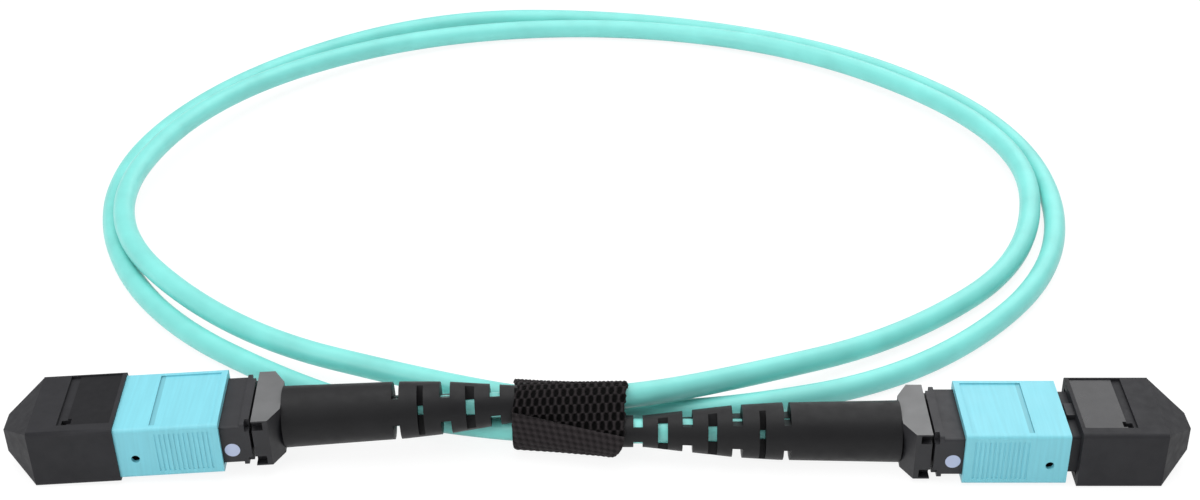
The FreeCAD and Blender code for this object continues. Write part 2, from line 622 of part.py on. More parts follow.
def cable():
    """The cable from one crimp ring to the other, as one tube with narrow flats."""
    points = [Vector(*p) for p in ROUTE]
    left_end = left_placement().multVec(Vector(CABLE_END, 0, 0))
    right_end = right_placement().multVec(Vector(CABLE_END, 0, 0))
    path, radii = arc_path(points, left_end, right_end)
    print("cable length", round(path.Length, 1), "mm")
    print("arc radii", [round(r, 1) for r in radii])
    runs = [round((b - a).Length, 1) for a, b in zip(points, points[1:])]
    print("runs", runs)
    direction = path.Edges[0].tangentAt(path.Edges[0].FirstParameter)
    up = (Vector(0, 0, 1) - direction * direction.z).normalize()
    side = direction.cross(up)
    ring = []
    for i in range(CABLE_SIDES):
        angle = 2 * math.pi * (i + 0.5) / CABLE_SIDES
        ring.append(left_end + (up * math.cos(angle) + side * math.sin(angle)) * CABLE_RADIUS)
    tube = path.makePipeShell([Part.makePolygon(ring + ring[:1])], True, False)
    share = tube.Volume / (math.pi * CABLE_RADIUS ** 2 * path.Length)
    print("tube volume over section times length", round(share, 5))
    return tube


def rounded_ring(x, corners, radius):
    """A closed wire at x round circles of one radius centred on the corners (y, z)."""
    centres = [Vector(x, y, z) for y, z in corners]
    count = len(centres)
    normals = []
    for i in range(count):
        along = (centres[(i + 1) % count] - centres[i]).normalize()
        normals.append(Vector(0, along.z, -along.y))
    edges = []
    for i in range(count):
        after = (i + 1) % count
        line_start = centres[i] + normals[i] * radius
        line_end = centres[after] + normals[i] * radius
        edges.append(Part.LineSegment(line_start, line_end).toShape())
        bisector = (normals[i] + normals[after]).normalize()
        middle = centres[after] + bisector * radius
        arc_end = centres[after] + normals[after] * radius
        edges.append(Part.Arc(line_end, middle, arc_end).toShape())
    return Part.Wire(edges)


def strap_core(radius):
    """A solid of the bundle's outline at a radius, as long as the strap is wide."""
    outline = Part.Face(rounded_ring(STRAP_LEFT_X, STRAP_OUTLINE, radius))
    return outline.extrude(Vector(STRAP_RIGHT_X - STRAP_LEFT_X, 0, 0))


def strap():
    """The hook-and-loop strap: a closed band with a second layer over its front."""
    outer = strap_core(STRAP_INNER_RADIUS + STRAP_THICKNESS)
    flap = strap_core(STRAP_INNER_RADIUS + STRAP_THICKNESS + FLAP_THICKNESS)
    window = Part.makeBox(STRAP_RIGHT_X - STRAP_LEFT_X, 20, FLAP_TOP,
                          Vector(STRAP_LEFT_X, FLAP_BACK - 20, 0))
    band = outer.fuse(flap.common(window))
    return band.cut(strap_core(STRAP_INNER_RADIUS)).removeSplitter()


def main():
    os.makedirs("parts", exist_ok=True)
    sides = (
        ("left", left_placement(), LEFT_CAP_GAP, 1, SLOT_TURN_LEFT),
        ("right", right_placement(), RIGHT_CAP_GAP, -1, SLOT_TURN_RIGHT),
    )
    for side, placement, *choices in sides:
        for name, piece in plug_pieces(*choices).items():
            piece.transformShape(placement.toMatrix(), True)
            piece.exportStep(f"parts/{name}_{side}.step")
    cable().exportStep("parts/cable.step")
    strap().exportStep("parts/strap.step")


main()
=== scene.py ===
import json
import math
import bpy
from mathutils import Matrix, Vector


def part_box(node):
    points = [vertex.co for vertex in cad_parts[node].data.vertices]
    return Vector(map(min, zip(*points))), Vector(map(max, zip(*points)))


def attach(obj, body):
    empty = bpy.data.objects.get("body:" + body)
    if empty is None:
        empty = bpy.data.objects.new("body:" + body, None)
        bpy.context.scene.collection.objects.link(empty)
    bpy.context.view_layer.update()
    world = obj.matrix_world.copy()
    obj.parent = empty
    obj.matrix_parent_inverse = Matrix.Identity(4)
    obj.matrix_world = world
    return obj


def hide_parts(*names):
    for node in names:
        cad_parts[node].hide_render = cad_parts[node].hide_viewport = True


bl_info = {
    "name": "Multi-fibre Patch Cord",
    "version": (1, 0, 0),
    "blender": (4, 5, 0),
    "location": "3D View > Sidebar > Patch Cord",
    "description": "Builds the finish of a coiled patch cord around its packed frame",
    "category": "Add Mesh",
}

import bmesh
import bpy
from mathutils import Matrix, Vector

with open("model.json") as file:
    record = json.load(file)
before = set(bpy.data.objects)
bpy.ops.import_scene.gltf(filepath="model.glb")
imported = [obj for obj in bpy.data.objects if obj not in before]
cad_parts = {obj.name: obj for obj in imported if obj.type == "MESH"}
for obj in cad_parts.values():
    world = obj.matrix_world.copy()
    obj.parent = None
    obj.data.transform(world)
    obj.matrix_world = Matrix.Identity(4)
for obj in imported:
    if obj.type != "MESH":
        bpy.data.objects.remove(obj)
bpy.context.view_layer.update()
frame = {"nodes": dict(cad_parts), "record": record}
MM = 0.001
SIDES = ("left", "right")

# The cable between its two boots, in metres: out of the left one, round twice, into the right one.
ROUTE = (
    (-0.0108, 0.00106, 0.00659),
    (0.0039, 0.00162, 0.0072),
    (0.0171, 0.0099, 0.0041),
    (0.043, 0.0235, 0.0018),
    (0.065, 0.0452, 0.0021),
    (0.0696, 0.0802, 0.0031),
    (0.0412, 0.115, 0.0023),
    (0.0026, 0.1286, 0.0016),
    (-0.037, 0.1208, 0.0022),
    (-0.0668, 0.0912, 0.0046),
    (-0.0758, 0.0523, 0.0046),
    (-0.0513, 0.022, 0.0038),
    (-0.02, 0.0103, 0.0029),
    (-0.003, 0.0049, 0.0035),
    (0.0135, 0.0055, 0.0016),
    (0.0452, 0.0148, 0.0016),
    (0.0703, 0.0444, 0.0016),
    (0.0713, 0.0844, 0.0016),
    (0.046, 0.1158, 0.0016),
    (0.0082, 0.1308, 0.0016),
    (-0.0306, 0.1313, 0.0016),
    (-0.0642, 0.1053, 0.0016),
    (-0.0788, 0.0692, 0.0016),
    (-0.0665, 0.032, 0.0016),
    (-0.0358, 0.0083, 0.0016),
    (-0.015, 0.0028, 0.0016),
    (-0.0034, -0.0014, 0.00405),
    (0.0094, -0.0014, 0.00405),
)
# From a sleeve's front back to the jacket's end inside the boot, and to the crimp ring's rear.
JACKET_BACK = 0.0306

# Corners (y, z) of the bundle that the strap wraps, in millimetres, at the strap's left and right
# edges. The strap bends round each corner, starting under the first one.
STRAP_LEFT = ((1.0, 3.4), (2.4, 3.35), (6.5, 3.35), (6.6, 3.4), (1.1, 6.6))
STRAP_RIGHT = ((-1.4, 3.9), (0.0, 3.35), (5.2, 3.35), (5.5, 3.4), (1.4, 6.65))
# Where each strip starts and ends, as shares of the outline, at its left and right edges.
BAND_STARTS, BAND_ENDS = (0.0, 0.0), (1.0, 1.0)
FLAP_STARTS, FLAP_ENDS = (0.755, 0.86), (1.22, 1.22)
# The strap's edges aren't straight: they lean at its front and on its top. The middle and spread
# of those two places are shares of the outline, and the leans are shares of the edge drift.
FRONT_PLACE, FRONT_SPREAD = 0.99, 0.07
TOP_PLACE, TOP_SPREAD = 0.62, 0.08
RIGHT_LEAN_AT_TOP, LEFT_LEAN, LEFT_LEAN_AT_FRONT = 0.2, 0.35, 0.7
# How much thinner the strap gets at its edges, as a share of its thickness.
EDGE_THINNING = 0.12
# The flap's weave: from ridge to ridge each way, their height, and how dark the painted shade in
# its dips is.
RIDGE_ONE_WAY, RIDGE_OTHER_WAY, RIDGE_HEIGHT = 0.0007, 0.0011, 0.00006
DIP_SHADE = 0.36
STRIP_MAP = "strip"
# Vertex value of the painted shade: near black in the band's holes, darker in the flap's dips.
HOLE_AND_DIP_SHADE = "hole"

# Distances in metres within which points are one, and a face is too thin to keep.
SAME_POINT = 1e-6
SLIVER = 4e-7

# The camera is turned up from straight down by so many degrees.
CAMERA_PLACE = (0.0004, -0.2088, 0.1557)
CAMERA_TURN = 59.0
CAMERA_LENS, FILM_WIDTH = 60.0, 36.0
FLOOR_HALF = 3.0
FLOOR_COLOUR = (0.86, 0.86, 0.86)
FLOOR_GLOW, GLOW_SHARE = 1.1, 0.8
WORLD_LIGHT = 0.42
# Each lamp's name, place, target, side in metres and power in watts.
LAMPS = (
    ("overhead", (0.0, 0.1, 0.7), (0.0, 0.03, 0.0), 0.8, 4.2),
    ("front_left", (-0.5, -0.5, 0.45), (0.0, 0.0, 0.0), 0.5, 2.5),
    ("back", (0.25, 0.6, 0.4), (0.0, 0.0, 0.0), 0.6, 1.5),
)


def plug_matrix(side):
    """From a plug's frame to the row's. It starts at the sleeve's front, x ahead, z to the key."""
    mounts = frame["record"]["mounts"]
    mount = next(m for m in mounts if m["name"] == f"adapter_face_{side}")
    ahead = Vector(mount["axis"]).normalized()
    across = Vector((0, 0, 1)).cross(ahead).normalized()
    if across.y < 0:
        across.negate()
    up = ahead.cross(across)
    turn = Matrix((ahead, across, up)).transposed().to_4x4()
    sizes = bpy.context.scene.cord_plug
    origin = Vector(mount["pos_m"]) - ahead * sizes.nose_length
    return Matrix.Translation(origin) @ turn


# ---------------------------------------------------------------- sizes and colours

class CordCable(bpy.types.PropertyGroup):
    """The round cable."""
    diameter: bpy.props.FloatProperty(
        name="Diameter", description="Outer diameter of the jacket", default=0.0032, unit="LENGTH")
    length: bpy.props.FloatProperty(
        name="Length", description="Length between the two crimp rings", default=0.894,
        unit="LENGTH")
    colour: bpy.props.FloatVectorProperty(
        name="Jacket", description="Colour of the jacket", subtype="COLOR", size=3,
        default=(0.21, 0.69, 0.642), min=0.0, max=1.0)


class CordPlug(bpy.types.PropertyGroup):
    """The two plugs."""
    nose_length: bpy.props.FloatProperty(
        name="Nose length", description="From the sleeve's front to the nose's front",
        default=0.0046, unit="LENGTH")
    edge: bpy.props.FloatProperty(
        name="Edge", default=0.00014, unit="LENGTH",
        description="Bevel asked for on the moulded parts, which get far less as it is clamped")
    boot_edge: bpy.props.FloatProperty(
        name="Boot edge", default=0.0001, unit="LENGTH",
        description="Bevel asked for on the boots, which get almost none as it is clamped")
    # The darker strip is painted shade on the panel's floor behind its front wall.
    ramp_length: bpy.props.FloatProperty(
        name="Ramp", description="Length of the darker strip behind the panel's front wall",
        default=0.0006, unit="LENGTH")
    dot_diameter: bpy.props.FloatProperty(
        name="Dot", description="Diameter of the white dot beside the first fibre",
        default=0.00193, unit="LENGTH")
    dot_back: bpy.props.FloatProperty(
        name="Dot place", description="From the sleeve's rear edge back to the dot's centre",
        default=0.0013, unit="LENGTH")
    black: bpy.props.FloatVectorProperty(
        name="Black parts", description="Colour of the black moulded parts", subtype="COLOR",
        size=3, default=(0.022, 0.022, 0.025), min=0.0, max=1.0)
    # Painted highlight: the rear collars' top faces get this paler colour in place of the light
    # they reflect.
    collar_top_highlight: bpy.props.FloatVectorProperty(
        name="Collar tops", description="Colour of the rear collars' paler top faces",
        subtype="COLOR", size=3, default=(0.125, 0.127, 0.13), min=0.0, max=1.0)
    sleeve: bpy.props.FloatVectorProperty(
        name="Sleeves", description="Colour of the coupling sleeves", subtype="COLOR", size=3,
        default=(0.20, 0.60, 0.70), min=0.0, max=1.0)


class CordStrap(bpy.types.PropertyGroup):
    """The hook-and-loop strap."""
    inner_radius: bpy.props.FloatProperty(
        name="Corner radius", description="Inner radius of the strap round the bundle",
        default=0.0022, unit="LENGTH")
    thickness: bpy.props.FloatProperty(
        name="Thickness", description="Thickness of one layer", default=0.00055, unit="LENGTH")
    hole_pitch: bpy.props.FloatProperty(
        name="Hole pitch", description="Distance between neighbouring holes in a row",
        default=0.001, unit="LENGTH")
    hole_rows: bpy.props.FloatProperty(
        name="Row pitch", description="Distance between rows of holes", default=0.0012,
        unit="LENGTH")
    hole_depth: bpy.props.FloatProperty(
        name="Hole depth", description="Depth of the holes", default=0.00025, unit="LENGTH")
    flap_lift: bpy.props.FloatProperty(
        name="Flap lift", description="How far the flap lies outside the first layer",
        default=0.0005, unit="LENGTH")
    edge_drift: bpy.props.FloatProperty(
        name="Edge drift", description="How far the strap's edges wander from straight",
        default=0.0015, unit="LENGTH")
    grid: bpy.props.FloatProperty(
        name="Grid", description="Spacing of the strap's mesh", default=0.00014, unit="LENGTH")
    colour: bpy.props.FloatVectorProperty(
        name="Strap", description="Colour of the strap", subtype="COLOR", size=3,
        default=(0.021, 0.018, 0.019), min=0.0, max=1.0)


# ---------------------------------------------------------------- materials

class Finish:
    """A new node material with a Principled shader, and short ways to add and join its nodes."""

    def __init__(self, name, colour, roughness, specular=0.5):
        self.material = bpy.data.materials.new(name)
        self.material.use_nodes = True
        self.tree = self.material.node_tree
        self.shader = self.tree.nodes["Principled BSDF"]
        self.shader.inputs["Base Color"].default_value = (*colour, 1.0)
        self.shader.inputs["Roughness"].default_value = roughness
        self.shader.inputs["Specular IOR Level"].default_value = specular
        self.material.diffuse_color = (*colour, 1.0)

    def add(self, kind, **settings):
        """A node of that kind, with its properties and numbered or named inputs set."""
        node = self.tree.nodes.new("ShaderNode" + kind)
        for key, value in settings.items():
            if hasattr(node, key):
                setattr(node, key, value)
            else:
                node.inputs[key.replace("_", " ")].default_value = value
        return node

    def join(self, source, target):
        """A link from an output to an input."""
        self.tree.links.new(source, target)

    def coordinates(self):
        """The piece's own coordinates, in metres."""
        return self.add("TexCoord").outputs["Object"]

    def noise(self, size, detail=3.0, where=None):
        """Noise whose features are about size metres wide, centred on 0.5."""
        texture = self.add("TexNoise", Scale=1.0 / size, Detail=detail)
        self.join(where or self.coordinates(), texture.inputs["Vector"])
        return texture.outputs["Fac"]

    def spread(self, value, low, high, start=0.3, end=0.7):
        """The value's middle range, from start to end, spread over low to high."""
        node = self.add("MapRange", From_Min=start, From_Max=end, To_Min=low, To_Max=high)
        self.join(value, node.inputs["Value"])
        return node.outputs["Result"]

    def uneven(self, value, low, high):
        """Roughness that wanders from low to high with the value."""
        self.join(self.spread(value, low, high), self.shader.inputs["Roughness"])

    def either(self, first, second):
        """1 where one value or the other is 1."""
        node = self.add("Math", operation="ADD", use_clamp=True)
        self.join(first, node.inputs[0])
        self.join(second, node.inputs[1])
        return node.outputs[0]

    def blend(self, share, first, second):
        """Two shaders mixed, by a number or by a value from 0 to 1."""
        node = self.add("MixShader")
        if isinstance(share, float):
            node.inputs[0].default_value = share
        else:
            self.join(share, node.inputs[0])
        self.join(first, node.inputs[1])
        self.join(second, node.inputs[2])
        return node.outputs[0]

    def tint(self, colour, other, share):
        """Base colour between two colours, by a value from 0 to 1."""
        mix = self.add("Mix", data_type="RGBA")
        mix.inputs[6].default_value = (*colour, 1.0)
        mix.inputs[7].default_value = (*other, 1.0)
        self.join(share, mix.inputs[0])
        self.join(mix.outputs[2], self.shader.inputs["Base Color"])

    def bump(self, heights):
        """Bumps on each other, from pairs of a height from 0 to 1 and what 1 is in metres."""
        normal = None
        for height, distance in heights:
            node = self.add("Bump", Strength=1.0, Distance=distance)
            self.join(height, node.inputs["Height"])
            if normal:
                self.join(normal, node.inputs["Normal"])
            normal = node.outputs["Normal"]
        self.join(normal, self.shader.inputs["Normal"])


def shade(colour, factor):
    """The colour made darker or paler."""
    return tuple(min(1.0, c * factor) for c in colour)


def moulded(name, colour, roughness, grain=0.00012, grain_depth=0.000004, drift=0.12,
            specular=0.35):
    """Moulded plastic: a fine grain, a slow drift of tone and a roughness that varies a little."""
    finish = Finish(name, colour, roughness, specular)
    slow = finish.noise(0.004, 2.0)
    fine = finish.noise(grain, 2.0)
    finish.tint(shade(colour, 1 - drift), shade(colour, 1 + drift), finish.spread(slow, 0.0, 1.0))
    finish.uneven(finish.noise(0.0012, 4.0), roughness - 0.06, roughness + 0.06)
    finish.bump([(fine, grain_depth), (slow, 0.00002)])
    return finish.material


def brushed_sleeve(name, colour):
    """Sleeve plastic with fine lines round it, as its mould leaves them."""
    finish = Finish(name, colour, 0.42)
    round_the_sleeve = (1.0, 0.04, 0.04)
    stretch = finish.add("Mapping", Scale=round_the_sleeve)
    finish.join(finish.coordinates(), stretch.inputs["Vector"])
    lines = finish.noise(0.0004, 2.0, stretch.outputs["Vector"])
    finish.tint(shade(colour, 0.95), shade(colour, 1.03), finish.spread(lines, 0.0, 1.0))
    finish.uneven(finish.noise(0.003, 2.0), 0.36, 0.5)
    finish.bump([(lines, 0.00001), (finish.noise(0.0001, 2.0), 0.000003)])
    return finish.material


def jacket(colour):
    """Soft extruded jacket: satin, very slightly wavy, with fine marks."""
    finish = Finish("jacket", colour, 0.4)
    slow = finish.noise(0.006, 2.0)
    fine = finish.noise(0.0003, 3.0)
    finish.tint(shade(colour, 0.93), shade(colour, 1.06), finish.spread(slow, 0.0, 1.0))
    finish.uneven(fine, 0.34, 0.46)
    finish.bump([(slow, 0.00006), (fine, 0.000004)])
    return finish.material


def strap_cloth(name, colour, pitch):
    """Knitted nylon: slanting threads pitch metres apart, and nearly black painted shade in the
    holes and dips.
    """
    finish = Finish(name, colour, 0.8, 0.08)
    finish.shader.inputs["Sheen Weight"].default_value = 0.04
    finish.shader.inputs["Sheen Roughness"].default_value = 0.4
    turned = finish.add("Mapping", Rotation=(0, 0, math.radians(45)))
    finish.join(finish.add("UVMap", uv_map=STRIP_MAP).outputs["UV"], turned.inputs["Vector"])
    knit = finish.add("TexVoronoi", feature="F1", distance="CHEBYCHEV", Scale=1.0 / pitch,
                      Randomness=0.15)
    finish.join(turned.outputs["Vector"], knit.inputs["Vector"])
    threads = finish.spread(knit.outputs["Distance"], 1.0, 0.0, 0.1, 0.6)
    hole = finish.add("Attribute", attribute_name=HOLE_AND_DIP_SHADE).outputs["Fac"]
    finish.tint(shade(colour, 1.2), shade(colour, 0.03), hole)
    finish.bump([(threads, 0.00006), (finish.noise(0.00008), 0.00002)])
    return finish.material


def bright_metal(name, colour, roughness):
    """Drawn or plated metal with fine scratches."""
    finish = Finish(name, colour, roughness)
    finish.shader.inputs["Metallic"].default_value = 1.0
    fine = finish.noise(0.0001, 4.0)
    finish.uneven(fine, roughness - 0.08, roughness + 0.1)
    finish.bump([(fine, 0.000003)])
    return finish.material


# ---------------------------------------------------------------- mesh helpers

def new_object(name, data):
    """An object of that mesh, curve, lamp or camera, in the scene."""
    made = bpy.data.objects.new(name, data)
    bpy.context.scene.collection.objects.link(made)
    return made


def new_mesh(name, bm):
    """The finished bmesh as a mesh."""
    mesh = bpy.data.meshes.new(name)
    bm.to_mesh(mesh)
    bm.free()
    return mesh


def finished_piece(name, data, body, materials):
    """An object of the mesh or curve, with its materials and body."""
    piece = new_object(name, data)
    for material in materials:
        data.materials.append(material)
    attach(piece, body)
    return piece


def smooth_by_angle(bm, degrees):
    """Smooth faces, with the edges sharper than the angle kept crisp."""
    for face in bm.faces:
        face.smooth = True
    for edge in bm.edges:
        if edge.is_manifold:
            edge.smooth = edge.calc_face_angle(0.0) < math.radians(degrees)


def drop_slivers(bm):
    """Joins points that coincide and takes out the faces that have no area."""
    bmesh.ops.remove_doubles(bm, verts=bm.verts, dist=SLIVER)
    bmesh.ops.dissolve_degenerate(bm, edges=bm.edges, dist=SLIVER)


def rounded_copy(node, edge, least_angle=25.0, smooth=None):
    """A CAD node's mesh joined up, its flats made whole and its outer edges bevelled.

    The bevel is clamped: these pieces get under 0.01 mm of it, so their edges still look sharp.
    """
    same_flat = math.radians(0.4)
    shortest = 0.25 * MM
    bm = bmesh.new()
    bm.from_mesh(frame["nodes"][node].data)
    bmesh.ops.remove_doubles(bm, verts=bm.verts, dist=SAME_POINT)
    bmesh.ops.dissolve_limit(bm, angle_limit=same_flat, verts=bm.verts, edges=bm.edges)
    sharp = [e for e in bm.edges if e.is_manifold and e.is_convex and e.calc_length() > shortest
             and e.calc_face_angle() > math.radians(least_angle)]
    bmesh.ops.bevel(bm, geom=sharp, offset=edge, offset_type="OFFSET", segments=2, profile=0.5,
                    affect="EDGES", clamp_overlap=True, material=-1)
    drop_slivers(bm)
    bmesh.ops.triangulate(bm, faces=[f for f in bm.faces if len(f.verts) > 4])
    if smooth:
        smooth_by_angle(bm, smooth)
    return new_mesh(node + "_finish", bm)


def paint_flats(mesh, matrix, low, high, key_side, far_side):
    """Gives the level faces between two heights a material index, for each side of the plug."""
    inverse = matrix.inverted()
    turn = inverse.to_3x3()
    level = 0.9
    for face in mesh.polygons:
        height = (inverse @ face.center).z
        if abs((turn @ face.normal).z) > level and low < abs(height) < high:
            face.material_index = key_side if height > 0 else far_side


def paint_steps(mesh, matrix, low, high, index):
    """Gives the painted shade's material index to the small walls across the plug that stand
    inside its outline.
    """
    inverse = matrix.inverted()
    turn = inverse.to_3x3()
    margin = 0.5 * MM
    depth = 0.4 * MM
    upright = 0.5
    for face in mesh.polygons:
        centre = inverse @ face.center
        inside = low.x + margin < centre.x < high.x - margin
        outermost = abs(centre.z) > high.z - depth
        if inside and outermost and abs((turn @ face.normal).x) > upright:
            face.material_index = index


def paint_ramps(mesh, matrix, high, length, step, index):
    """Cuts a strip off the panel's floor behind its front wall and gives it the painted shade's
    material index.
    """
    inverse = matrix.inverted()
    walls = [(inverse @ f.center).x for f in mesh.polygons if f.material_index == step]
    front = max(walls)
    shallow, deep = 0.1 * MM, 0.4 * MM
    bm = bmesh.new()
    bm.from_mesh(mesh)
    axis = matrix.to_3x3() @ Vector((1, 0, 0))
    bmesh.ops.bisect_plane(bm, geom=bm.verts[:] + bm.edges[:] + bm.faces[:], dist=1e-7,
                           plane_co=matrix @ Vector((front - length, 0, 0)), plane_no=axis)
    drop_slivers(bm)
    for face in bm.faces:
        centre = inverse @ face.calc_center_median()
        floor = high.z - deep < abs(centre.z) < high.z - shallow
        if floor and front - length < centre.x < front and face.material_index != step:
            face.material_index = index
    bm.to_mesh(mesh)
    bm.free()


def plug_box(node, matrix):
    """Lowest and highest corners of a node in its plug's own frame."""
    inverse = matrix.inverted()
    corners = [inverse @ v.co for v in frame["nodes"][node].data.vertices]
    low = Vector([min(c[i] for c in corners) for i in range(3)])
    high = Vector([max(c[i] for c in corners) for i in range(3)])
    return low, high


# ---------------------------------------------------------------- pieces

class CORD_OT_stage(bpy.types.Operator):
    """Pale floor, soft studio light and the camera"""
    bl_idname = "cord.stage"
    bl_label = "Stage"

    def execute(self, context):
        self.floor()
        self.light()
        self.camera()
        context.scene.view_settings.view_transform = "Standard"
        return {"FINISHED"}

    def floor(self):
        """A pale sheet that looks white to the camera and in reflections, and keeps shadows."""
        bm = bmesh.new()
        bmesh.ops.create_grid(bm, x_segments=1, y_segments=1, size=FLOOR_HALF)
        mesh = new_mesh("floor", bm)
        floor = new_object("floor", mesh)
        finish = Finish("floor_paper", FLOOR_COLOUR, 0.9, 0.1)
        paper = finish.shader.outputs[0]
        glow = finish.add("Emission", Color=(1, 1, 1, 1), Strength=FLOOR_GLOW)
        white = finish.blend(GLOW_SHARE, paper, glow.outputs[0])
        path = finish.add("LightPath").outputs
        seen = finish.either(path["Is Camera Ray"], path["Is Glossy Ray"])
        seen = finish.either(seen, path["Is Transmission Ray"])
        surface = finish.tree.nodes["Material Output"].inputs["Surface"]
        finish.join(finish.blend(seen, paper, white), surface)
        mesh.materials.append(finish.material)

    def light(self):
        """An even white world and three soft lamps."""
        world = bpy.data.worlds.new("studio")
        world.use_nodes = True
        background = world.node_tree.nodes["Background"]
        background.inputs["Color"].default_value = (1.0, 1.0, 1.0, 1.0)
        background.inputs["Strength"].default_value = WORLD_LIGHT
        bpy.context.scene.world = world
        for name, place, target, side, power in LAMPS:
            light = bpy.data.lights.new(name, "AREA")
            light.shape = "SQUARE"
            light.size = side
            light.energy = power
            lamp = new_object(name, light)
            lamp.location = place
            aim = Vector(target) - Vector(place)
            lamp.rotation_euler = aim.to_track_quat("-Z", "Y").to_euler()

    def camera(self):
        """A camera in front of the strap, looking down at the cord."""
        camera = bpy.data.cameras.new("camera")
        camera.lens = CAMERA_LENS
        camera.sensor_width = FILM_WIDTH
        eye = new_object("camera", camera)
        eye.location = CAMERA_PLACE
        eye.rotation_euler = (math.radians(CAMERA_TURN), 0.0, 0.0)
        bpy.context.scene.camera = eye


class CORD_OT_cable(bpy.types.Operator):
    """The round cable, from crimp ring to crimp ring"""
    bl_idname = "cord.cable"
    bl_label = "Cable"

    def execute(self, context):
        sizes = context.scene.cord_cable
        left = plug_matrix("left")
        right = plug_matrix("right")
        jacket_end = Vector((-JACKET_BACK, 0, 0))
        points = [left @ jacket_end, *ROUTE, right @ jacket_end]
        curve = bpy.data.curves.new("cable", "CURVE")
        curve.dimensions = "3D"
        spline = curve.splines.new("NURBS")
        spline.points.add(len(points) - 1)
        for point, place in zip(spline.points, points):
            point.co = (*place, 1.0)
        spline.order_u = 3
        spline.use_endpoint_u = True
        spline.resolution_u = 20
        curve.bevel_depth = sizes.diameter / 2
        curve.bevel_resolution = 7
        curve.use_fill_caps = True
        piece = finished_piece("cable_jacket", curve, "cord", [jacket(sizes.colour)])
        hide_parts("cable")
        return {"FINISHED"}


def outline_stretches(corners, radius):
    """The straight runs and arcs of a closed outline round the corners, in millimetres."""
    centres = [Vector(c) for c in corners]
    count = len(centres)
    runs = []
    for i in range(count):
        step = centres[(i + 1) % count] - centres[i]
        runs.append((step.length, math.atan2(step.y, step.x)))
    stretches = []
    for i in range(count):
        length, heading = runs[i]
        turn = (runs[(i + 1) % count][1] - heading) % (2 * math.pi)
        stretches.append(("run", centres[i], heading, length))
        stretches.append(("arc", centres[(i + 1) % count], heading, radius * turn))
    return stretches


def outline_place(stretches, radius, share):
    """Position and outward normal (y, z) at a share of the outline's length."""
    left = share % 1.0 * sum(s[3] for s in stretches)
    for kind, centre, heading, length in stretches:
        if left <= length or (kind, centre, heading, length) == stretches[-1]:
            break
        left -= length
    if kind == "run":
        out = Vector((math.sin(heading), -math.cos(heading)))
        along = Vector((math.cos(heading), math.sin(heading)))
        return centre + out * radius + along * left, out
    angle = heading + left / radius
    out = Vector((math.sin(angle), -math.cos(angle)))
    return centre + out * radius, out


def near_share(share, middle, spread):
    """From 1 at the middle down to 0 away from it, on the closed outline."""
    away = (share - middle + 0.5) % 1.0 - 0.5
    return math.exp(-(away / spread) ** 2)


